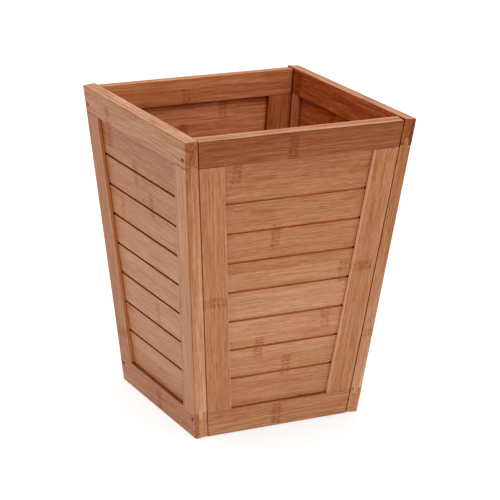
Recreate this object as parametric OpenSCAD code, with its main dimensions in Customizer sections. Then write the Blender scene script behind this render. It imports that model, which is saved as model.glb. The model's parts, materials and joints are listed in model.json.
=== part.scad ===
// Tapered square wastebasket of four framed and panelled wooden sides with an open top.
// Millimetres, +Z up, origin on the floor at the centre of the base, front towards -Y.

/* [Overall] */
// Height of the left and right sides at their outer faces, from the floor to the rim
height = 311; // [260:1:380]
// Width over the left and right sides at the rim
rim_w = 247; // [220:1:300]
// Depth from front to back at the rim
rim_d = 241; // [220:1:300]
// Width over the left and right sides at the floor
foot_w = 181; // [160:1:215]
// Depth from front to back at the floor
foot_d = 175; // [160:1:215]
// Drop of the front and back below the rim of the other two sides
end_drop = 0.7; // [0:0.1:4]
// Height of the front and back above the floor that the other two sides stand on
end_lift = 0.5; // [0:0.1:2]
// Width of the level strip that the left and right sides stand on
foot_flat = 3; // [1:0.5:6]

/* [Frames] */
// Thickness of every frame member, square to its side
frame_t = 13; // [11:0.5:16]
// Height of the top rails
top_rail_h = 26.8; // [22:0.1:34]
// Height of the bottom rails' upper edges above the floor
bottom_rail_h = 26.5; // [24:0.5:34]
// Width of the stiles
stile_w = 26.5; // [20:0.5:32]
// Depth of the groove that seats the infill board and the stile tongues
seat = 7; // [5:0.5:8]
// Width of that groove and of the stile tongues that fill it at the corners
slot_t = 5.4; // [5:0.2:6]
// Gap at each end of the front top rail
end_gap = 0.4; // [0.2:0.1:1.2]

/* [Infill boards] */
// Thickness of the infill boards, which sit loose in the frame's grooves
board_t = 4.8; // [4:0.2:4.8]
// Gap left for movement between a board's top or side edge and its groove
play = 0.5; // [0.2:0.1:1]
// Number of grooves cut across the face of each board
groove_count = 7; // [5:1:7]
// Height of one groove
groove_h = 2.4; // [1:0.2:3]
// Depth of one groove
groove_depth = 2.2; // [1:0.2:3]
// Distance from one groove to the next
groove_pitch = 30.8; // [26:0.2:32]
// Distance from the top of the front or back to the middle of its first groove
end_first_groove = 67; // [55:0.2:70]
// Distance from the top of the left or right side to the middle of its first groove
side_first_groove = 64.4; // [55:0.2:70]

/* [Base board] */
// Thickness of the base board
base_t = 6; // [4:0.5:6]
// Height of the base board's underside above the floor
base_z = 8; // [5:0.5:10]
// Depth of the groove that seats the base board in the bottom rails
base_seat = 4; // [3:0.5:5]

/* [Screws] */
// Diameter of the screw heads
screw_head = 7; // [5.6:0.2:8]
// Diameter of the screw shanks
screw_d = 3.4; // [2.8:0.2:4]
// Length of the screws
screw_len = 36; // [28:1:45]
// Height of the upper screws below the rim
screw_top_drop = 18.5; // [16:0.5:22]
// Height of the lower screws above the floor
screw_bottom = 20; // [18:0.5:21]

/* [Hidden] */

// A side is [facing rim, facing foot, across rim, across foot, top, drop to its first groove,
// bottom]: the first pair is the basket's size square to the side, the second is the side's own
// width. Heights are at a side's outer face. Its edges are square to it, so they rise inwards.
wall = frame_t * norm([1, (rim_w - foot_w) / 2 / height]);
foot_cut = foot_flat * (rim_w - foot_w) / 2 / height;
end = [rim_d, foot_d, rim_w - 2 * wall, foot_w - 2 * wall, height - end_drop, end_first_groove,
    end_lift];
side = [rim_w, foot_w, rim_d, foot_d, height, side_first_groove, -foot_cut];

slot_in = (frame_t - slot_t) / 2;
board_in = (frame_t - board_t) / 2;
head_sink = 0.3;
head_h = 2.3;
head_rim = 0.4;
point_h = 6;
hole_gap = 0.1;
cross_arm = 4.2;
cross_w = 1.2;
cross_depth = 1.6;
reach = 2 * max(rim_w, rim_d);
$fn = 48;

function half(rim, foot, z) = (foot + (rim - foot) * z / height) / 2;
function face(p, z) = half(p[0], p[1], z);
function edge(p, z) = half(p[2], p[3], z);
function slope(p) = (p[0] - p[1]) / 2 / height;
function lean(p) = norm([1, slope(p)]);

// Point of a leaning side's section, from its depth below the outer face and the height there
function inward(p, depth, z) = [depth / lean(p) - face(p, z), z + depth * slope(p) / lean(p)];

// Section of a leaning side as [depth below the outer face, height] points, endless across the side
module section(p, points)
    rotate([90, 0, 90])
        linear_extrude(reach, center = true)
            polygon([for (c = points) inward(p, c[0], c[1])]);

// Leaning layer between two depths below the outer face
module layer(p, near, far, z0, z1)
    section(p, [[near, z0], [far, z0], [far, z1], [near, z1]]);

// Leaning strip between two insets from the side's +X edge, endless through the side
module strip(p, outer, inner, z0, z1)
    rotate([90, 0, 0])
        linear_extrude(reach, center = true)
            polygon([for (c = [[outer, z0], [inner, z0], [inner, z1], [outer, z1]])
                [edge(p, c[1]) - c[0], c[1]]]);

// Full width of the side less an inset at each edge
module field(p, inset, z0, z1)
    rotate([90, 0, 0])
        linear_extrude(reach, center = true)
            polygon([
                [inset - edge(p, z0), z0], [edge(p, z0) - inset, z0],
                [edge(p, z1) - inset, z1], [inset - edge(p, z1), z1]
            ]);

// Groove and tongue zone in the middle of the thickness
module middle(p, z0, z1) layer(p, slot_in, slot_in + slot_t, z0, z1);

// Turns a member made for the front into one for another side
module to_back() rotate([0, 0, 180]) children();
module to_left() rotate([0, 0, -90]) children();
module to_right() rotate([0, 0, 90]) children();

// Screws: countersunk, with a cross recess and a pointed end, standing on their heads at z = 0
module screw_profile(extra)
    polygon([
        [0, 0], [screw_head / 2 + extra, 0], [screw_head / 2 + extra, head_rim],
        [screw_d / 2 + extra, head_h], [screw_d / 2 + extra, screw_len - point_h],
        [0, screw_len + extra]
    ]);

module screw()
    difference() {
        rotate_extrude() screw_profile(0);
        for (turn = [0, 90])
            rotate([0, 0, turn])
                translate([-cross_arm / 2, -cross_w / 2, -1])
                    cube([cross_arm, cross_w, cross_depth + 1]);
    }

// Hole for one screw, open to the face that the head sits under
module screw_hole() {
    rotate_extrude() screw_profile(hole_gap);
    translate([0, 0, -2]) cylinder(h = 2, r = screw_head / 2 + hole_gap);
}

// The four places where a left side's screws enter, each with +Z along the screw
module at_screws()
    to_left()
        for (across = [-1, 1], z = [screw_bottom, height - screw_top_drop])
            translate([across * (edge(side, z) - wall / 2), -face(side, z), z])
                rotate([-90 + atan(slope(side)), 0, 0])
                    translate([0, 0, head_sink])
                        children();

module screw_holes() {
    at_screws() screw_hole();
    mirror([1, 0, 0]) at_screws() screw_hole();
}

// Slot that the base board sits in, cut into all four bottom rails
base_w = 2 * (half(rim_w, foot_w, base_z) - wall + base_seat);
base_d = 2 * (half(rim_d, foot_d, base_z) - frame_t * lean(end) + base_seat);

module base_slab(gap)
    translate([-base_w / 2 - gap, -base_d / 2 - gap, base_z])
        cube([base_w + 2 * gap, base_d + 2 * gap, base_t]);

// Frame members, made as part of the front; the board groove runs out at both ends of a rail
module top_rail(p)
    difference() {
        intersection() {
            layer(p, 0, frame_t, p[4] - top_rail_h, p[4]);
            field(p, 0, p[4] - top_rail_h - 1, p[4] + 3);
        }
        middle(p, p[4] - top_rail_h - 1, p[4] - top_rail_h + seat);
    }

module bottom_rail(p)
    difference() {
        intersection() {
            layer(p, 0, frame_t, p[6], bottom_rail_h);
            field(p, 0, 0, bottom_rail_h + 3);
        }
        middle(p, bottom_rail_h - seat, bottom_rail_h + 1);
    }

// Upright at the +X edge, with a stub tongue at each end and a groove for the board
module stile(p) {
    low = bottom_rail_h;
    high = p[4] - top_rail_h;
    slot_out = slot_in + slot_t;
    difference() {
        intersection() {
            section(p, [
                [0, low], [slot_in, low], [slot_in, low - seat],
                [slot_out, low - seat], [slot_out, low], [frame_t, low],
                [frame_t, high], [slot_out, high], [slot_out, high + seat],
                [slot_in, high + seat], [slot_in, high], [0, high]
            ]);
            strip(p, 0, stile_w, low - seat - 1, high + seat + 3);
        }
        intersection() {
            middle(p, low - seat - 1, high + seat + 1);
            strip(p, stile_w - seat, stile_w + 1, low - seat - 2, high + seat + 4);
        }
    }
}

// Infill board standing in the bottom rail's groove, with grooves across its outer face
module board(p) {
    low = bottom_rail_h - seat;
    high = p[4] - top_rail_h + seat - play;
    difference() {
        intersection() {
            layer(p, board_in, board_in + board_t, low, high);
            field(p, stile_w - seat + play, low - 1, high + 3);
        }
        for (i = [0:groove_count - 1]) {
            z = p[4] - p[5] - i * groove_pitch;
            layer(p, board_in - 1, board_in + groove_depth, z - groove_h / 2, z + groove_h / 2);
        }
    }
}

// Members of the front and back, bored for the screws that run into their ends
module end_top_rail()
    difference() {
        top_rail(end);
        screw_holes();
    }

module end_bottom_rail()
    difference() {
        bottom_rail(end);
        screw_holes();
        base_slab(play);
    }

module end_stile()
    difference() {
        stile(end);
        screw_holes();
    }

module front_top_rail()
    color("sienna")
        difference() {
            end_top_rail();
            for (turn = [0, 1])
                mirror([turn, 0, 0])
                    strip(end, -1, end_gap, end[4] - top_rail_h - 1, end[4] + 3);
        }

module front_bottom_rail() color("sienna") end_bottom_rail();
module front_left_stile() color("peru") mirror([1, 0, 0]) end_stile();
module front_right_stile() color("peru") end_stile();
module front_board() color("burlywood") board(end);

module back_top_rail() color("sienna") to_back() end_top_rail();
module back_bottom_rail() color("sienna") to_back() end_bottom_rail();
module back_left_stile() color("peru") to_back() end_stile();
module back_right_stile() color("peru") to_back() mirror([1, 0, 0]) end_stile();
module back_board() color("burlywood") to_back() board(end);

// Members of the left side, which cover the ends of the front and back
module left_top_rail()
    color("sienna")
        difference() {
            to_left() top_rail(side);
            screw_holes();
        }

module left_bottom_rail()
    color("sienna")
        difference() {
            to_left() bottom_rail(side);
            screw_holes();
            base_slab(play);
        }

module left_front_stile()
    color("peru")
        difference() {
            to_left() stile(side);
            screw_holes();
        }

module left_back_stile() mirror([0, 1, 0]) left_front_stile();
module left_board() color("burlywood") to_left() board(side);

// The right side mirrors the left
module right_top_rail() mirror([1, 0, 0]) left_top_rail();
module right_bottom_rail() mirror([1, 0, 0]) left_bottom_rail();
module right_front_stile() mirror([1, 0, 0]) left_front_stile();
module right_back_stile() mirror([1, 0, 0]) left_back_stile();
module right_board() color("burlywood") to_right() board(side);

module base_board() color("tan") base_slab(0);

module screws_left() color("dimgray") at_screws() screw();
module screws_right() mirror([1, 0, 0]) screws_left();

front_top_rail();
front_bottom_rail();
front_left_stile();
front_right_stile();
front_board();
back_top_rail();
back_bottom_rail();
back_left_stile();
back_right_stile();
back_board();
left_top_rail();
left_bottom_rail();
left_front_stile();
left_back_stile();
left_board();
right_top_rail();
right_bottom_rail();
right_front_stile();
right_back_stile();
right_board();
base_board();
screws_left();
screws_right();
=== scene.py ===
"""Looks of the bamboo wastebasket: framed sides with grooved infill boards, round a base board."""

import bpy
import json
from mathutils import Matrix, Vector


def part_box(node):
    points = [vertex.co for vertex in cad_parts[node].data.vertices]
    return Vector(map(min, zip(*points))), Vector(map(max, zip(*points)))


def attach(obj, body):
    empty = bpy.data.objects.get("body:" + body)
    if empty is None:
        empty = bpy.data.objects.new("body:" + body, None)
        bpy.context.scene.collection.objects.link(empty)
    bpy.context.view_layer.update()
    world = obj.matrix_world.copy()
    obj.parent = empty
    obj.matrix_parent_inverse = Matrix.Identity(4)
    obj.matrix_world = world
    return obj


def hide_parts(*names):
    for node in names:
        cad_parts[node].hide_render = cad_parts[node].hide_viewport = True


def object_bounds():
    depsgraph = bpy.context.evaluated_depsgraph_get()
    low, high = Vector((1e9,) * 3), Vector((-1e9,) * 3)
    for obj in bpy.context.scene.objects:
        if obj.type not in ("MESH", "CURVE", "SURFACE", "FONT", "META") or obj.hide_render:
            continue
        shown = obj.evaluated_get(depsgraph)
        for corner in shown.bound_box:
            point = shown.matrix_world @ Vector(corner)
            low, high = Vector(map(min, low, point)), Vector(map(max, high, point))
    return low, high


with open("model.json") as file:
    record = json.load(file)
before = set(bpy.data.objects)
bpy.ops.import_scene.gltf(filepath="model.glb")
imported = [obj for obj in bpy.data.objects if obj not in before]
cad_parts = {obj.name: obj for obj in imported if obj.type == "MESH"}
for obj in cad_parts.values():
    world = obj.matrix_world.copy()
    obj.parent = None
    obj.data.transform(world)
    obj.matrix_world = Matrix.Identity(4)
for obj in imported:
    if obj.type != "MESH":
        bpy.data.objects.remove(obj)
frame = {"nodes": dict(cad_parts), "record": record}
cad_box = [list(corner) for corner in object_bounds()]

import json
import math
import random

import bmesh
import bpy
from mathutils import Matrix, Vector

MM = 0.001
PITCH = 23.6 * MM  # width of one bamboo strip
PLY = 4.67 * MM  # depth of one of the three layers in a frame member
SEAM_COUNT = 16  # seams to each side of the first, enough for the widest face
FAR = 9.0  # a growth ring's place when there is none, beyond every piece
WELD = 0.002 * MM  # vertices nearer than this are one
ON_PLANE = 0.0001 * MM  # a vertex this near to a cutting plane lies on it
EASED = 0.985  # cosine of about 10 degrees: a face that is further off every direction is eased

THICK = 13 * MM  # of every frame member
STILE = 26.5 * MM  # width of a stile
SET_BACK = 4.1 * MM  # of a board's face, from the frame's
HEIGHT = cad_box[1][2]


def foot(node, axis):
    """Half width at the floor, from the bottom rail's own vertices."""
    return max(abs(v.co[axis]) for v in frame["nodes"][node].data.vertices if v.co.z < 0.01 * MM)


def rim(node, axis):
    """Half width and height of a side's outer top edge."""
    return max((abs(v.co[axis]), v.co.z) for v in frame["nodes"][node].data.vertices)


FOOT = (foot("left_bottom_rail", 0), foot("left_bottom_rail", 1))
RIM = (rim("left_top_rail", 0), rim("front_top_rail", 1))
SLOPE = [(half - FOOT[axis]) / z for axis, (half, z) in enumerate(RIM)]
WALL = THICK * math.hypot(1, SLOPE[0])  # thickness of the left and right, measured level


class Side:
    """The directions of one side: out of its face, across it as seen from outside, and up its slope."""

    def __init__(self, name, out, across):
        self.name, self.out, self.across = name, Vector(out), Vector(across)
        self.axis = 0 if abs(out[0]) > 0.5 else 1
        self.slope = SLOPE[self.axis]
        self.lean = math.hypot(1, self.slope)
        self.covered = 0.0 if self.axis == 0 else WALL
        self.top = RIM[self.axis][1]

    def depth(self, p):
        """Distance in from the outer face."""
        return (FOOT[self.axis] + self.slope * p.z - p.dot(self.out)) / self.lean

    def level(self, p):
        """Height of the point of the outer face that is square out from p."""
        return p.z - self.depth(p) * self.slope / self.lean

    def half(self, z):
        """Half width at a height, between the upright edges."""
        other = 1 - self.axis
        return FOOT[other] + SLOPE[other] * z - self.covered

    def inset(self, p):
        """Distance in from the nearer upright edge."""
        return self.half(p.z) - abs(p.dot(self.across))

    def rise(self, p):
        """Distance up the slope from the floor."""
        return self.level(p) * self.lean

    def face_normal(self):
        """Unit vector square out of the face."""
        return (self.out - Vector((0, 0, self.slope))).normalized()

    def up(self):
        """Unit vector up the slope."""
        return (Vector((0, 0, 1)) + self.out * self.slope).normalized()


SIDES = {
    "front": Side("front", (0, -1, 0), (1, 0, 0)),
    "back": Side("back", (0, 1, 0), (-1, 0, 0)),
    "left": Side("left", (-1, 0, 0), (0, -1, 0)),
    "right": Side("right", (1, 0, 0), (0, 1, 0)),
}

# Tone of each member, from dark red-brown below 0 to light caramel about 1
# The back's and right's tones are of their inner faces and carry painted light and shade: the back's
# board and top rail paler where lit, the right's board and top rail darker in shade
TONES = {
    "front_top_rail": -0.22,
    "front_bottom_rail": 0.50,
    "front_left_stile": 0.60,
    "front_right_stile": 0.55,
    "front_board": 0.74,
    "left_top_rail": 0.44,
    "left_bottom_rail": 0.38,
    "left_front_stile": 0.43,
    "left_back_stile": 0.12,
    "left_board": 0.60,
    "back_top_rail": 0.89,
    "back_board": 1.06,
    "back_right_stile": 0.50,
    "back_left_stile": 0.46,
    "right_top_rail": 0.02,
    "right_board": 0.18,
    "right_back_stile": 0.66,
    "right_front_stile": 0.46,
    "base_board": 0.60,
}

OTHER_TONES = 0.45, 0.70  # range for the members not listed
FRESH_TONE = 0.60  # of the back's and right's outer faces: their tones above are of the inner faces
SPREAD = 0.07  # of the tone from strip to strip

# Tones of single strips on a board's face: the number of the lowest, then each one upwards
STRIPS = {
    "front_board": (-6, (0.60, 0.67, 0.76, 0.83, 0.84, 0.66, 0.51, 0.55, 0.44, 0.44, 0.36)),
    "left_board": (-9, (0.48, 0.60, 0.56, 0.63, 0.56, 0.62, 0.56, 0.48, 0.42, 0.40, 0.28)),
}

# Staining in a board's grooves, 0 none to 1 full, and its lightness. The staining is partly lacquer
# soaked into the cut and partly painted bounce light; the lightness is painted light on the front and
# painted shade on the left
GROOVES = {"front_board": (0.92, 0.14), "left_board": (1.0, -0.36)}
OTHER_GROOVES = (0.8, -0.2)
COVERED_GROOVES = (0.0, -1.2)  # where a groove runs in under a stile: painted shade, near black
IN_GROOVE = 0.5 * MM, 4 * MM  # range of depths, below a board's face, of a groove's own faces

# Tone of the three plies on the edges of a member, from the outer face inwards
PLIES = {
    "front_top_rail": (0.30, 0.24, 0.30),
    "back_top_rail": (-0.15, -0.19, -0.15),
    "front_right_stile": (0.10, 0.04, 0.0),
    "left_back_stile": (-0.08, 0.0, 0.0),
    "right_top_rail": (0.04, 0.18, 0.22),
    "left_front_stile": (0.03, 0.09, 0.12),
    "left_top_rail": (0.08, 0.04, 0.10),
    "left_bottom_rail": (-0.10, 0.08, 0.04),
    "right_front_stile": (0.10, 0.06, 0.08),
    "right_bottom_rail": (0.02, 0.0, 0.03),
}

# What the end grain of a rail adds to its plies' tones
ENDS = {
    "front_top_rail": -0.12,
    "back_top_rail": -0.12,
    "left_top_rail": -0.12,
    "right_top_rail": -0.20,
    "left_bottom_rail": 0.18,
    "right_bottom_rail": 0.10,
}

# Height of one seam between strips, or for a stile its distance in from the outer edge
SEAMS = {
    "front_board": 170.6 * MM,
    "left_board": 235.0 * MM,
    "front_top_rail": 308.5 * MM,
    "front_bottom_rail": 25.0 * MM,
    "left_top_rail": 304.0 * MM,
    "left_bottom_rail": 24.0 * MM,
    "front_left_stile": 24.5 * MM,
    "front_right_stile": 5.0 * MM,
    "left_front_stile": 22.0 * MM,
    "left_back_stile": 3.5 * MM,
}

# Lightness and staining where a stile's inner edge shows beside the board: painted light on the lit
# ones, painted shade on the back's in shadow inside, the staining partly painted bounce light
REVEALS = {
    "front_right_stile": (0.44, 0.06),
    "left_back_stile": (0.24, 0.62),
    "back_right_stile": (-0.30, 0.5),
    "back_left_stile": (-0.30, 0.5),
    "right_back_stile": (0.0, 0.3),
}
OTHER_REVEALS = (0.16, 0.3)
REVEAL_CORNER = 0.42  # lightness of the eased corner between a stile's face and its inner edge: a painted highlight
LEDGE_SHADE = -0.16  # lightness of a bottom rail's upper edge: painted shade under the leaning board

# Casts, as places on the ramp CASTS: the grey of sawn edges, and painted sheen on the left's faces and
# on top edges
PLAIN, COOL, COOLER, SAWN, RIM_TOP, PALE_RIM_TOP = 0.0, 0.20, 0.35, 0.50, 0.85, 1.00
PALEST = "left_top_rail"

# Growth rings (bamboo nodes) at listed places, in mm: (along the grain, across it)
RINGS = {
    "front_board": [(-65, 274), (-18, 206), (60, 159), (45, 111), (-27, 88), (5, 64)],
    "left_board": [(-70, 268), (-13, 246), (20, 225), (-53, 202), (12, 105)],
    "front_top_rail": [(-9, 295)],
    "front_bottom_rail": [(-3, 12)],
    "left_top_rail": [(-62, 293)],
    "left_bottom_rail": [(5, 12)],
    "front_left_stile": [(145, 12)],
    "front_right_stile": [(163, 15)],
    "back_board": [(17, 260), (-28, 277)],
    "back_top_rail": [(14, 300)],
}


def side_of(node):
    """The side that a node belongs to, or None for the base board."""
    return SIDES.get(node.split("_")[0])


def welded(node):
    """A clean copy of a CAD node's mesh, with its triangles joined into flat faces."""
    bm = bmesh.new()
    bm.from_mesh(frame["nodes"][node].data)
    bmesh.ops.remove_doubles(bm, verts=bm.verts[:], dist=WELD)
    bmesh.ops.dissolve_limit(
        bm, angle_limit=math.radians(0.6), verts=bm.verts[:], edges=bm.edges[:]
    )
    for name in [layer.name for layer in bm.loops.layers.uv]:
        bm.loops.layers.uv.remove(bm.loops.layers.uv[name])
    return bm


def near(a, b, gap=0.06 * MM):
    """Whether two measures are the same, apart from the mesh's own rounding."""
    return abs(a - b) < gap


# Radius of each kind of eased edge, in mm; a pair is for the left and right, then the front and back
EASE = {
    "base board": 0.6,
    "infill board": 0.35,
    "long edge at rim or floor": 0.7,
    "cross edge at rim": (1.0, 0.6),
    "cross edge at floor": (1.0, 0.4),
    "outer upright": (0.8, 0.7),
    "inner upright": (0.45, 0.7),
    "stile beside board": 0.3,
    "flush joint": 0.04,
    "groove or tongue": 0.12,
}


def edge_round(node, side, edge):
    """Radius of the eased edge, in millimetres, from where the edge lies on its side."""
    if edge.is_boundary or len(edge.link_faces) != 2 or edge.calc_face_angle() < math.radians(20):
        return 0.0
    if side is None:
        return EASE["base board"]
    if "board" in node:
        return EASE["infill board"]
    a, b = (v.co for v in edge.verts)
    depths = side.depth(a), side.depth(b)
    outer = all(near(d, 0) for d in depths)
    inner = all(near(d, THICK) for d in depths)
    at_rim = all(near(side.level(p), side.top) for p in (a, b))
    at_floor = all(side.level(p) < 0.6 * MM for p in (a, b))
    if at_rim or at_floor:
        if outer or inner:
            return EASE["long edge at rim or floor"]
        return EASE["cross edge at rim" if at_rim else "cross edge at floor"][side.axis]
    if all(side.inset(p) < 0.5 * MM for p in (a, b)):
        return EASE["outer upright" if outer else "inner upright"][side.axis]
    if outer or inner:
        beside_board = "stile" in node and abs((a - b).z) > 20 * MM
        return EASE["stile beside board" if beside_board else "flush joint"]
    return EASE["groove or tongue"]


# Lightness of eased edges: dark joint lines between the sides, partly painted shade in the gap; painted
# shade on the outer back uprights, bottom edges and outer rim edges; painted light and shade on the
# front corners; a painted highlight on the inner rim edges
EDGE_LIGHT_AND_JOINTS = {
    "left joint": -0.27,
    "joint": -0.60,
    "left front corner": -0.10,
    "right front corner": 0.14,
    "outside": -0.20,
    "outside top": -0.12,
    "inside top": 0.05,
}


def edge_tone(node, side, p, on_eased_edge):
    """Lightness of an eased edge, from where it lies: dark joints, painted shade and painted
    highlights. Each lies within about 1 mm of its corner.
    """
    if side is None or not on_eased_edge or "board" in node:
        return 0.0
    depth, level, inset = side.depth(p), side.level(p), side.inset(p)
    top, bottom, upright = level > side.top - 0.8 * MM, level < 1.3 * MM, inset < 0.9 * MM
    outer, inner = depth < 0.8 * MM, depth > THICK - 0.7 * MM
    if upright and (side.axis == 1 or inner):
        return EDGE_LIGHT_AND_JOINTS["left joint" if "left_stile" in node or side.name == "left" else "joint"]
    if outer and upright and p.y < 0:
        return EDGE_LIGHT_AND_JOINTS[side.name + " front corner"]
    if outer and (top or bottom or upright):
        return EDGE_LIGHT_AND_JOINTS["outside" if upright or bottom else "outside top"]
    return EDGE_LIGHT_AND_JOINTS["inside top"] if top else 0.0


def rounded(bm, name, weigh):
    """The mesh with its edges eased by their own radii, which weigh gives in millimetres."""
    weight = bm.edges.layers.float.get("bevel_weight_edge") or bm.edges.layers.float.new(
        "bevel_weight_edge"
    )
    for edge in bm.edges:
        edge[weight] = min(1.0, weigh(edge))
    mesh = bpy.data.meshes.new(name)
    bm.to_mesh(mesh)
    bm.free()
    draft = bpy.data.objects.new(name + "_draft", mesh)
    bpy.context.scene.collection.objects.link(draft)
    bevel = draft.modifiers.new("ease", "BEVEL")
    bevel.limit_method = "WEIGHT"
    bevel.width = 1 * MM
    bevel.segments = 3
    bevel.use_clamp_overlap = False
    bevel.miter_outer = "MITER_ARC"
    done = bpy.data.meshes.new_from_object(
        draft.evaluated_get(bpy.context.evaluated_depsgraph_get())
    )
    bpy.data.objects.remove(draft)
    out = bmesh.new()
    out.from_mesh(done)
    bpy.data.meshes.remove(done)
    return out


def with_normals(obj):
    """Bakes smooth shading that is weighted by face area, so that only the eased edges curve."""
    for polygon in obj.data.polygons:
        polygon.use_smooth = True
    obj.modifiers.new("flats", "WEIGHTED_NORMAL").keep_sharp = True
    obj.modifiers["flats"].weight = 80
    bpy.context.view_layer.update()
    mesh = bpy.data.meshes.new_from_object(
        obj.evaluated_get(bpy.context.evaluated_depsgraph_get())
    )
    mesh.name = obj.name
    obj.modifiers.clear()
    obj.data = mesh


def add_piece(bm, node, ending, slot, material):
    """The visible piece for one CAD node."""
    mesh = bpy.data.meshes.new(node + ending)
    bm.to_mesh(mesh)
    bm.free()
    piece = bpy.data.objects.new(node + ending, mesh)
    bpy.context.scene.collection.objects.link(piece)
    mesh.materials.append(material)
    with_normals(piece)
    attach(piece, "root")
    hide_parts(node)


def split(bm, point, direction):
    """Cuts every face that the plane crosses in two."""
    bmesh.ops.bisect_plane(
        bm,
        geom=bm.verts[:] + bm.edges[:] + bm.faces[:],
        plane_co=point,
        plane_no=direction,
        dist=ON_PLANE,
    )


def plane_across(side, upright, turn, place):
    """Point and direction of the plane at a place across the grain, on the half that turn tells."""
    if side is None:
        return Vector((0, place, 0)), Vector((0, 1, 0))
    if upright:
        lean = Vector((0, 0, SLOPE[1 - side.axis]))
        return side.across * turn * (side.half(0) - place), (side.across * turn - lean).normalized()
    return side.out * FOOT[side.axis] + side.up() * place, side.up()


def split_at_seams(bm, side, upright, seam):
    """Cuts the faces along every seam between two strips, so each face is of one strip."""
    turn = 1 if side and sum(v.co.dot(side.across) for v in bm.verts) > 0 else -1
    for k in range(-SEAM_COUNT, SEAM_COUNT + 1):
        split(bm, *plane_across(side, upright, turn, seam + k * PITCH))


def split_at_stiles(bm, side):
    """Cuts a board's faces close to where it goes in under the two stiles."""
    for turn in (1, -1):
        split(bm, *plane_across(side, True, turn, STILE + 0.8 * MM))


def grain_place(node, side, upright, p):
    """A point as (along the grain, across it, depth below the outer face)."""
    if side is None:
        return Vector((p.x, p.y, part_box(node)[1].z - p.z))
    depth = side.depth(p)
    if "board" in node:
        depth -= SET_BACK
    if upright:
        return Vector((side.rise(p), side.inset(p), depth))
    return Vector((p.dot(side.across), side.rise(p), depth))


def strip_rings(chance, strip, seam, shown, piece_rings):
    """Places of the two growth rings along one strip: listed, or seeded about 0.3 m apart."""
    found = []
    if shown:
        for along, across in piece_rings:
            if math.floor((across * MM - seam) / PITCH) == strip:
                found.append(along * MM)
        # Strips without one, on a piece that has some, are mostly left bare
        if found or piece_rings and chance.random() < 0.9:
            return (found + [FAR, FAR])[:2]
    start = chance.uniform(-0.16, 0.16)
    return [start, start + chance.uniform(0.26, 0.36)]


def grain_directions(side, upright):
    """Unit vectors along the grain, across it and out of the face."""
    if side is None:
        return Vector((1, 0, 0)), Vector((0, 1, 0)), Vector((0, 0, 1))
    if upright:
        return side.up(), side.across, side.face_normal()
    return side.across, side.up(), side.face_normal()


def inside_first(node):
    """Whether the member's inner face is the one that the tables above describe."""
    return node.startswith("back") or node.startswith("right")


def strip_tone(node, chance, strip, facing):
    """Tone of one strip's face: the one listed, or the member's with a seeded spread."""
    tone = TONES.get(node, random.Random(node).uniform(*OTHER_TONES)) + chance.gauss(0, SPREAD)
    first, tones = STRIPS.get(node, (0, ()))
    if facing > -0.5 and 0 <= strip - first < len(tones):
        return tones[strip - first]
    if inside_first(node) and facing > 0.5:
        return FRESH_TONE + chance.gauss(0, SPREAD)
    return tone


def set_back_looks(node, side, face, place, edge_on):
    """Lightness and staining of grooves, of ledges and of a stile's inner edge: painted shade on ledges
    and in grooves under the stiles, painted light and shade elsewhere, the staining partly painted
    bounce light.
    """
    inset = side.inset(face.calc_center_median())
    if "board" in node and IN_GROOVE[0] < place.z < IN_GROOVE[1]:
        covered = inset < STILE + 0.7 * MM
        stain, lightness = COVERED_GROOVES if covered else GROOVES.get(node, OTHER_GROOVES)
        return lightness, stain
    if "bottom_rail" in node and face.normal.z > 0.8:
        return LEDGE_SHADE, 0.0
    if "stile" in node and edge_on and inset > 2 * MM:
        return REVEALS.get(node, OTHER_REVEALS)
    return 0.0, 0.0


def cast_of(node, side, face, facing):
    """Place on the ramp CASTS, from the member and which way the face looks: sawn edges greyer, painted
    sheen on top edges and on the left's faces.
    """
    if side and abs(facing) < 0.5:
        if face.normal.z > 0.8 and "bottom_rail" not in node:
            return PALE_RIM_TOP if node == PALEST else RIM_TOP
        return SAWN
    if node == PALEST:
        return COOLER
    return COOL if node.startswith("left") and facing > 0.5 else PLAIN


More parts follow.
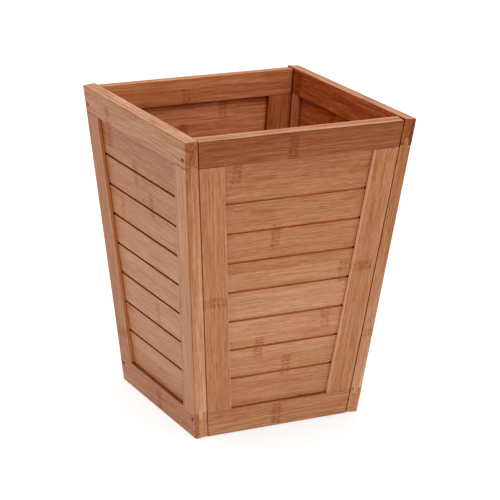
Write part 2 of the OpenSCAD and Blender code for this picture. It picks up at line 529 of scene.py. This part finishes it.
def wooden(node, slot, material):
    """One member, eased, with the numbers that its material works from written on its faces."""
    side = side_of(node)
    upright = "stile" in node
    seam = SEAMS.get(node, random.Random(node + "seam").uniform(0.1, 0.9) * PITCH)
    bm = rounded(welded(node), node, lambda e: edge_round(node, side, e))
    split_at_seams(bm, side, upright, seam)
    if side and "board" in node:
        split_at_stiles(bm, side)
    grain = bm.verts.layers.float_vector.new("grain")
    for v in bm.verts:
        place = grain_place(node, side, upright, v.co)
        place.y -= seam
        v[grain] = place
    strips, rings, plies = [bm.faces.layers.float_vector.new(n) for n in ("strip", "ring", "ply")]
    cuts, cast_places, stain_and_bounce_layer = [bm.faces.layers.float.new(n) for n in ("cut", "dull", "stain")]
    bm.normal_update()
    directions = grain_directions(side, upright)
    ply_tones = PLIES.get(node) or [
        random.Random(f"{node} ply {k}").gauss(0, 0.05) for k in range(3)
    ]
    for face in bm.faces:
        middle = face.calc_center_median()
        place = grain_place(node, side, upright, middle)
        strip = math.floor((place.y - seam) / PITCH)
        facing = face.normal.dot(directions[2])
        outside = facing > -0.5
        along, over, square = [abs(face.normal.dot(d)) for d in directions]
        end = 1.0 if along > 0.8 else 0.0
        on_eased_edge = max(along, over, square) < EASED

        chance = random.Random(f"{node} {strip} {'face' if outside else 'rear'}")
        seed = chance.uniform(0, 50)
        face[strips] = Vector((strip_tone(node, chance, strip, facing), seed, end))
        shown = outside != inside_first(node)
        inside = not outside or side is None and facing > 0.5
        ring_a, ring_b = strip_rings(chance, strip, seam, shown, RINGS.get(node, []))
        face[rings] = Vector((ring_a, ring_b, float(inside)))

        on_edge = side and abs(facing) < 0.5
        end_tone = ENDS.get(node, 0.0) if end else 0.0
        face[plies] = Vector([tone * bool(on_edge) + end_tone for tone in ply_tones])

        # Painted light and shade on grooves, ledges and stiles' inner edges, with staining that is
        # partly painted bounce light
        lightness, stain = 0.0, 0.0
        if side:
            lightness, stain = set_back_looks(node, side, face, place, over > 0.9)
        # Painted light and shade on eased edges, with the dark joints; a painted highlight on a stile's
        # eased corner beside the board
        joint = edge_tone(node, side, middle, on_eased_edge)
        if on_eased_edge and outside and upright and abs(side.inset(middle) - STILE) < 0.4 * MM:
            joint = REVEAL_CORNER
        face[cuts] = lightness + joint
        face[stain_and_bounce_layer] = stain
        face[cast_places] = cast_of(node, side, face, facing)
    add_piece(bm, node, "_wood", slot, material)


class Net:
    """Builds a material's nodes from short calls, most of which give back an output socket."""

    def __init__(self, name):
        self.material = bpy.data.materials.new(name)
        self.material.use_nodes = True
        self.tree = self.material.node_tree
        self.tree.nodes.clear()

    def node(self, kind, **settings):
        made = self.tree.nodes.new(kind)
        for key, value in settings.items():
            setattr(made, key, value)
        return made

    def put(self, socket, value):
        if isinstance(value, bpy.types.NodeSocket):
            self.tree.links.new(value, socket)
        else:
            socket.default_value = value

    def math(self, operation, a, b=0.0):
        made = self.node("ShaderNodeMath", operation=operation)
        self.put(made.inputs[0], a)
        self.put(made.inputs[1], b)
        return made.outputs[0]

    def add(self, *values):
        total = values[0]
        for value in values[1:]:
            total = self.math("ADD", total, value)
        return total

    def mul(self, a, b):
        return self.math("MULTIPLY", a, b)

    def step(self, value, start, end, low=0.0, high=1.0):
        """Smooth change from low to high as value goes from start to end."""
        made = self.node("ShaderNodeMapRange", interpolation_type="SMOOTHSTEP")
        for index, item in enumerate((value, start, end, low, high)):
            self.put(made.inputs[index], item)
        return made.outputs[0]

    def vector(self, x, y, z):
        made = self.node("ShaderNodeCombineXYZ")
        for index, item in enumerate((x, y, z)):
            self.put(made.inputs[index], item)
        return made.outputs[0]

    def parts(self, socket):
        made = self.node("ShaderNodeSeparateXYZ")
        self.put(made.inputs[0], socket)
        return made.outputs[:3]

    def attribute(self, name):
        return self.parts(self.node("ShaderNodeAttribute", attribute_name=name).outputs["Vector"])

    def number(self, name):
        return self.node("ShaderNodeAttribute", attribute_name=name).outputs["Fac"]

    def noise(self, at, detail, rough):
        made = self.node("ShaderNodeTexNoise")
        self.put(made.inputs["Vector"], at)
        made.inputs["Scale"].default_value = 1.0
        made.inputs["Detail"].default_value = detail
        made.inputs["Roughness"].default_value = rough
        return made.outputs["Fac"]

    def ramp(self, value, stops):
        """The colour at a value, from stops of (place, colour)."""
        made = self.node("ShaderNodeValToRGB")
        self.put(made.inputs[0], value)
        elements = made.color_ramp.elements
        while len(elements) < len(stops):
            elements.new(0.5)
        for element, (place, colour) in zip(elements, stops):
            element.position = place
            element.color = (*colour, 1.0)
        return made.outputs[0]

    def blend(self, factor, a, b, kind="MIX"):
        """Colour a with b mixed in, or multiplied in, by the factor."""
        made = self.node("ShaderNodeMix", data_type="RGBA", blend_type=kind)
        self.put(made.inputs["Factor"], factor)
        for name, colour in (("A", a), ("B", b)):
            self.put(made.inputs[name], (*colour, 1.0) if isinstance(colour, tuple) else colour)
        return made.outputs["Result"]

    def bump(self, height, strength, distance):
        made = self.node("ShaderNodeBump")
        made.inputs["Strength"].default_value = strength
        made.inputs["Distance"].default_value = distance
        self.put(made.inputs["Height"], height)
        return made.outputs[0]

    def surface(self, shader):
        """The finished material, with the shader as its surface."""
        out = self.node("ShaderNodeOutputMaterial")
        self.tree.links.new(shader.outputs[0], out.inputs["Surface"])
        return self.material


# Colours of the wood by its shade, from darkest to palest
BAMBOO = [
    (0.00, (0.110, 0.018, 0.003)),
    (0.22, (0.195, 0.037, 0.007)),
    (0.42, (0.320, 0.086, 0.023)),
    (0.58, (0.440, 0.176, 0.073)),
    (0.74, (0.545, 0.260, 0.140)),
    (1.00, (0.850, 0.490, 0.315)),
]

# Cast on plain faces and on sawn edges, and painted sheen, a pale cool reflection, on the cool and
# cooler faces of the left, on top edges and on the palest one's top edge
CASTS = [
    (PLAIN, (1.0, 1.0, 1.0)),
    (COOL, (0.975, 1.02, 1.07)),
    (COOLER, (0.965, 1.06, 1.24)),
    (SAWN, (0.96, 0.95, 0.96)),
    (RIM_TOP, (0.90, 1.04, 1.36)),
    (PALE_RIM_TOP, (0.92, 1.15, 1.62)),
]
INSIDE_CAST = (1.12, 0.86, 0.68)  # painted bounce light: the inner faces are redder
ROSY, OLIVE = (1.0, 0.96, 0.98), (0.96, 0.99, 0.88)

# Colours of cut wood that lacquer has soaked into
SOAKED = [
    (0.0, (0.150, 0.030, 0.005)),
    (0.5, (0.330, 0.078, 0.014)),
    (1.0, (0.620, 0.215, 0.060)),
]


def ply_pattern(net, w, seed):
    """A number that sets each ply's pattern apart, the ply's own tone, and the glue lines between."""
    add, mul = net.add, net.mul
    tones = net.attribute("ply")
    raised = net.math("DIVIDE", add(w, 0.5 * MM), PLY)
    ply = net.math("FLOOR", raised)
    in_ply = net.math("FRACT", raised)
    glue = add(net.step(in_ply, 0.0, 0.04, 1.0, 0.0), net.step(in_ply, 0.96, 1.0))
    second = net.math("COMPARE", ply, 1.0)
    third = net.math("COMPARE", ply, 2.0)
    first = add(1.0, mul(second, -1.0), mul(third, -1.0))
    tone = add(mul(first, tones[0]), mul(second, tones[1]), mul(third, tones[2]))
    return add(seed, mul(ply, 3.71)), tone, mul(glue, net.step(w, 1 * MM, 2 * MM))


def growth_rings(net, grown, u, places, end):
    """The band, the ladder-like dark rims and the wide halo of the two rings on a strip."""
    mul, step = net.mul, net.step
    crawl = mul(grown(0.0, 45.0, 3.0, 0.6), 6 * MM)
    gaps = [net.math("ABSOLUTE", net.add(u, mul(place, -1.0), crawl)) for place in places]
    away = net.math("MINIMUM", *gaps)
    rim_line = step(net.math("ABSOLUTE", net.add(away, -2.8 * MM)), 3 * MM, 0.4 * MM)
    rungs = step(grown(40.0, 800.0, 1.0, 0.5), -0.14, 0.20)
    on_face = net.add(1.0, mul(end, -1.0))
    band = step(away, 7.2 * MM, 3 * MM)
    return band, mul(mul(rim_line, rungs), on_face), step(away, 24 * MM, 4 * MM)


def cut_fibres(net, v, w, end):
    """End grain: dots of the cut fibres."""
    cells = net.node("ShaderNodeTexVoronoi", feature="F1")
    net.put(cells.inputs["Vector"], net.vector(0.0, v, w))
    cells.inputs["Scale"].default_value = 1100.0
    return net.mul(net.step(cells.outputs["Distance"], 0.42, 0.20), end)


def bamboo(name, stripe=0.17, fade=0.0, gloss=0.46):
    """Caramelised bamboo under satin lacquer: fibres, strips, growth rings and a slight relief."""
    net = Net(name)
    add, mul, step = net.add, net.mul, net.step
    u, v, w = net.attribute("grain")
    tone, seed, end = net.attribute("strip")
    ring_a, ring_b, inside = net.attribute("ring")
    cut, dull, stain = [net.number(layer) for layer in ("cut", "dull", "stain")]
    ident, ply_tone, glue = ply_pattern(net, w, seed)

    def grown(along, across, detail=2.0, rough=0.55, over=v):
        """Noise about zero that is stretched along the grain."""
        at = net.vector(add(mul(u, along), ident), mul(over, across), mul(w, across))
        return add(net.noise(at, detail, rough), -0.5)

    band, rung, halo = growth_rings(net, grown, u, (ring_a, ring_b), end)

    # Fibres run along the grain and turn aside near a ring
    sway = grown(80.0, 80.0, 2.0, 0.5)
    bent = add(v, mul(sway, add(mul(halo, 6 * MM), 0.6 * MM)))
    broad = grown(5.0, 70.0, over=bent)
    streak = grown(11.0, 360.0, over=bent)
    strand = grown(24.0, 760.0, 3.0, 0.65, bent)
    fine = grown(110.0, 2400.0, 2.0, 0.6, bent)
    fleck = grown(210.0, 480.0, 2.0, 0.6)
    pores = step(strand, 0.06, 0.20)
    dots = cut_fibres(net, v, w, end)

    # Seams between strips, every PITCH across the grain
    seam = step(net.math("PINGPONG", v, PITCH / 2), 0.35 * MM, 0.1 * MM)

    # Painted shade: darkening in the joints, corners and recesses that the occlusion finds, reaching
    # further and darker inside the basket, none where a face has staining
    occlusion = net.node("ShaderNodeAmbientOcclusion", samples=6)
    net.put(occlusion.inputs["Distance"], add(1.6 * MM, mul(inside, 2.4 * MM)))
    corner_shade = mul(step(occlusion.outputs["AO"], 0.84, 0.34), step(stain, 0.0, 0.2, 1.0, 0.0))

    # Sawn edges of upright members are paler towards the floor
    sawn_edge = mul(step(dull, 0.44, 0.48), step(dull, 0.52, 0.56, 1.0, 0.0))
    paler = mul(mul(add(HEIGHT / 2, mul(u, -1.0)), fade), sawn_edge)

    shade = add(
        mul(tone, 0.36),
        0.40,
        paler,
        mul(broad, 0.22),
        mul(streak, add(stripe, mul(inside, 0.22))),
        mul(strand, 0.72),
        mul(fine, 0.50),
        ply_tone,
        mul(pores, -0.06),
        mul(band, -0.055),
        mul(rung, -0.115),
        mul(mul(band, fleck), 0.22),
        mul(mul(halo, fleck), 0.16),
        mul(seam, -0.08),
        mul(glue, -0.14),
        mul(end, -0.03),
        mul(dots, -0.10),
        cut,
        # painted shade in joints and corners
        mul(corner_shade, add(-0.38, mul(inside, -0.50))),
    )
    colour = net.ramp(shade, BAMBOO)
    drift = net.ramp(step(grown(9.0, 60.0, over=bent), -0.2, 0.2), [(0.0, ROSY), (1.0, OLIVE)])
    colour = net.blend(1.0, colour, drift, "MULTIPLY")
    # Casts: the grey of sawn edges, and painted sheen on top edges and on the left's faces
    colour = net.blend(1.0, colour, net.ramp(dull, CASTS), "MULTIPLY")
    # Painted bounce light: the inner faces redder
    colour = net.blend(inside, colour, INSIDE_CAST, "MULTIPLY")
    # Staining colour: partly lacquer soaked into cuts, partly painted bounce light in grooves and on
    # stiles' inner edges
    colour = net.blend(stain, colour, net.ramp(add(mul(strand, 1.2), cut, 0.75), SOAKED))

    relief = add(
        mul(strand, 0.6),
        mul(fine, 0.4),
        mul(pores, -0.4),
        mul(seam, -1.0),
        mul(glue, -0.6),
        mul(mul(band, fleck), 0.8),
        mul(dots, -0.8),
    )

    # Crevices, stained cuts, the inside and sawn edges shine less
    sheen = mul(add(1.0, mul(net.math("MAXIMUM", step(corner_shade, 0.0, 0.4), stain), -1.0)), 0.19)
    sheen = mul(mul(sheen, step(cut, -0.30, 0.0)), add(1.0, mul(inside, -0.75)))
    sheen = mul(sheen, add(1.0, mul(dull, -0.6)))
    rough = add(gloss, mul(strand, 0.25), mul(broad, 0.15), mul(end, 0.2), mul(corner_shade, 0.2))

    skin = net.node("ShaderNodeBsdfPrincipled")
    net.put(skin.inputs["Base Color"], colour)
    net.put(skin.inputs["Roughness"], rough)
    skin.inputs["IOR"].default_value = 1.5
    net.put(skin.inputs["Specular IOR Level"], sheen)
    net.put(skin.inputs["Normal"], net.bump(relief, 0.35, 0.3 * MM))
    return net.surface(skin)


# Colours of the screws' plating, and of the painted shade in their recesses
ZINC = [(0.0, (0.34, 0.15, 0.08)), (1.0, (0.54, 0.30, 0.18))]
RECESS_SHADE = (0.010, 0.005, 0.003)


def zinc():
    """Dull zinc-plated steel with a little grime, and painted shade, near black, in the recess and just
    round it.
    """
    net = Net("zinc_screw")
    at = net.node("ShaderNodeTexCoord").outputs["Object"]
    noise = net.node("ShaderNodeTexNoise")
    net.put(noise.inputs["Vector"], at)
    noise.inputs["Scale"].default_value = 900.0
    noise.inputs["Detail"].default_value = 4.0
    grime = noise.outputs["Fac"]
    spread = net.step(grime, 0.35, 0.7)
    middle = net.node("ShaderNodeAttribute", attribute_name="middle").outputs["Vector"]
    reach = net.node("ShaderNodeVectorMath", operation="DISTANCE")
    net.put(reach.inputs[0], at)
    net.put(reach.inputs[1], middle)
    # Painted shade of the recess, spreading a little round it
    near_recess = net.step(net.add(reach.outputs["Value"], net.mul(grime, 1.4 * MM)), 3 * MM, 1.9 * MM)
    recess_shade = net.math("MAXIMUM", net.number("recess"), net.mul(near_recess, 0.8))
    skin = net.node("ShaderNodeBsdfPrincipled")
    net.put(skin.inputs["Base Color"], net.blend(recess_shade, net.ramp(spread, ZINC), RECESS_SHADE))
    net.put(skin.inputs["Metallic"], net.step(recess_shade, 0.0, 1.0, 0.9, 0.0))
    skin.inputs["Specular IOR Level"].default_value = 0.08
    net.put(skin.inputs["Roughness"], net.step(spread, 0.0, 1.0, 0.55, 0.36))
    net.put(skin.inputs["Normal"], net.bump(grime, 0.15, 0.1 * MM))
    return net.surface(skin)


def pale_floor():
    """Plain matt floor that glows a little more far out, where the lamps don't reach."""
    net = Net("pale_floor")
    reach = net.node("ShaderNodeVectorMath", operation="LENGTH")
    net.put(reach.inputs[0], net.node("ShaderNodeTexCoord").outputs["Object"])
    skin = net.node("ShaderNodeBsdfPrincipled")
    skin.inputs["Base Color"].default_value = (0.36, 0.36, 0.36, 1.0)
    skin.inputs["Emission Color"].default_value = (1.0, 1.0, 1.0, 1.0)
    net.put(skin.inputs["Emission Strength"], net.step(reach.outputs["Value"], 2.0, 6.0, 0.66, 0.92))
    skin.inputs["Roughness"].default_value = 0.8
    return net.surface(skin)


materials = {
    "rail": bamboo("bamboo_rail", stripe=0.36),
    "stile": bamboo("bamboo_stile", stripe=0.29, fade=0.85),
    "infill_board": bamboo("bamboo_infill"),
    "base_board": bamboo("bamboo_base"),
    "screw": zinc(),
}
slots = {entry["node"]: entry["material_slot"] for entry in frame["record"]["subparts"]}

for node in sorted(slots):
    if not node.startswith("screws"):
        wooden(node, slots[node], materials[slots[node]])


HEAD_DEPTH = 0.32 * MM  # a head's vertices lie less deep than this below the side's face
HEAD_REACH = 8 * MM  # from a head's middle to the farthest part of it
RECESS_DEPTH = 0.12 * MM, 1.8 * MM
RECESS_REACH = 2.1 * MM


def soften(edge):
    """Radius of a screw's eased edge, in millimetres."""
    if len(edge.link_faces) != 2 or edge.calc_face_angle() < math.radians(25):
        return 0.0
    return 0.12


def screws(node):
    """Screws with eased heads and cross recesses, from the CAD's own."""
    bm = rounded(welded(node), node, soften)
    recess = bm.faces.layers.float.new("recess")
    middles = bm.faces.layers.float_vector.new("middle")
    side = side_of(node.split("_")[1])
    heads = [v.co for v in bm.verts if side.depth(v.co) < HEAD_DEPTH]
    for end in (-1, 1):
        for high in (False, True):
            head = [p for p in heads if p.y * end > 0 and (p.z > HEIGHT / 2) == high]
            middle = sum(head, Vector()) / len(head)
            for face in bm.faces:
                reach = face.calc_center_median() - middle
                if reach.length > HEAD_REACH:
                    continue
                face[middles] = middle
                sink = -reach.dot(side.face_normal())
                spread = (reach + side.face_normal() * sink).length
                if RECESS_DEPTH[0] < sink < RECESS_DEPTH[1] and spread < RECESS_REACH:
                    face[recess] = 1.0
    add_piece(bm, node, "_steel", "screw", materials["screw"])


screws("screws_left")
screws("screws_right")


FLOOR_RADIUS = 30.0


def floor_sheet():
    """A wide plain floor that the basket stands on."""
    bm = bmesh.new()
    bmesh.ops.create_circle(bm, cap_ends=True, segments=64, radius=FLOOR_RADIUS)
    mesh = bpy.data.meshes.new("floor")
    bm.to_mesh(mesh)
    bm.free()
    floor = bpy.data.objects.new("floor", mesh)
    bpy.context.scene.collection.objects.link(floor)
    floor.location.z = -0.2 * MM
    mesh.materials.append(pale_floor())


floor_sheet()


def lamp(name, place, aim, size, power, colour=(1.0, 1.0, 1.0)):
    """A rectangular lamp that faces the point it is aimed at."""
    data = bpy.data.lights.new(name, "AREA")
    data.shape = "RECTANGLE"
    data.size, data.size_y = size
    data.energy = power
    data.color = colour
    lit = bpy.data.objects.new(name, data)
    bpy.context.scene.collection.objects.link(lit)
    lit.location = place
    lit.rotation_mode = "QUATERNION"
    lit.rotation_quaternion = (Vector(aim) - Vector(place)).to_track_quat("-Z", "Y")


lamp("overhead", (0.0, 0.3, 4.0), (0, 0.3, 0.0), (5.2, 5.2), 262)
lamp("back_wall", (-1.1, 2.4, 0.9), (0, 0, 0.3), (3.2, 1.3), 13)
lamp("front_fill", (0.7, -2.0, 0.25), (0, 0, 0.05), (1.6, 0.5), 5.5)
lamp("left_fill", (-2.3, -0.4, 0.45), (0, 0, 0.15), (1.6, 0.6), 2.9, (0.62, 0.80, 1.0))

world = bpy.data.worlds.new("studio")
bpy.context.scene.world = world
world.use_nodes = True
world.node_tree.nodes["Background"].inputs["Color"].default_value = (1.0, 1.0, 1.0, 1.0)
world.node_tree.nodes["Background"].inputs["Strength"].default_value = 0.38

# The photo's camera, fitted to the corners of the basket
AZIMUTH, ELEVATION, ROLL = (math.radians(d) for d in (-27.4, 17.97, 1.52))
DISTANCE = 2.1596
AIM = Vector((0.0089, 0.0, 0.1558))
SENSOR_WIDTH, LENS = 36.0, 153.96  # in millimetres, as Blender counts them

camera = bpy.data.objects.new("camera", bpy.data.cameras.new("camera"))
bpy.context.scene.collection.objects.link(camera)
camera.data.sensor_width = SENSOR_WIDTH
camera.data.lens = LENS
camera.data.clip_end = 50.0
back = Vector((
    math.sin(AZIMUTH) * math.cos(ELEVATION),
    -math.cos(AZIMUTH) * math.cos(ELEVATION),
    math.sin(ELEVATION),
))
camera.location = AIM + back * DISTANCE
right = Vector((0, 0, 1)).cross(back).normalized()
up = back.cross(right)
right_rolled = right * math.cos(ROLL) + up * math.sin(ROLL)
up_rolled = up * math.cos(ROLL) - right * math.sin(ROLL)
camera.rotation_mode = "QUATERNION"
camera.rotation_quaternion = Matrix((right_rolled, up_rolled, back)).transposed().to_quaternion()
bpy.context.scene.camera = camera
bpy.context.scene.view_settings.view_transform = "Standard"
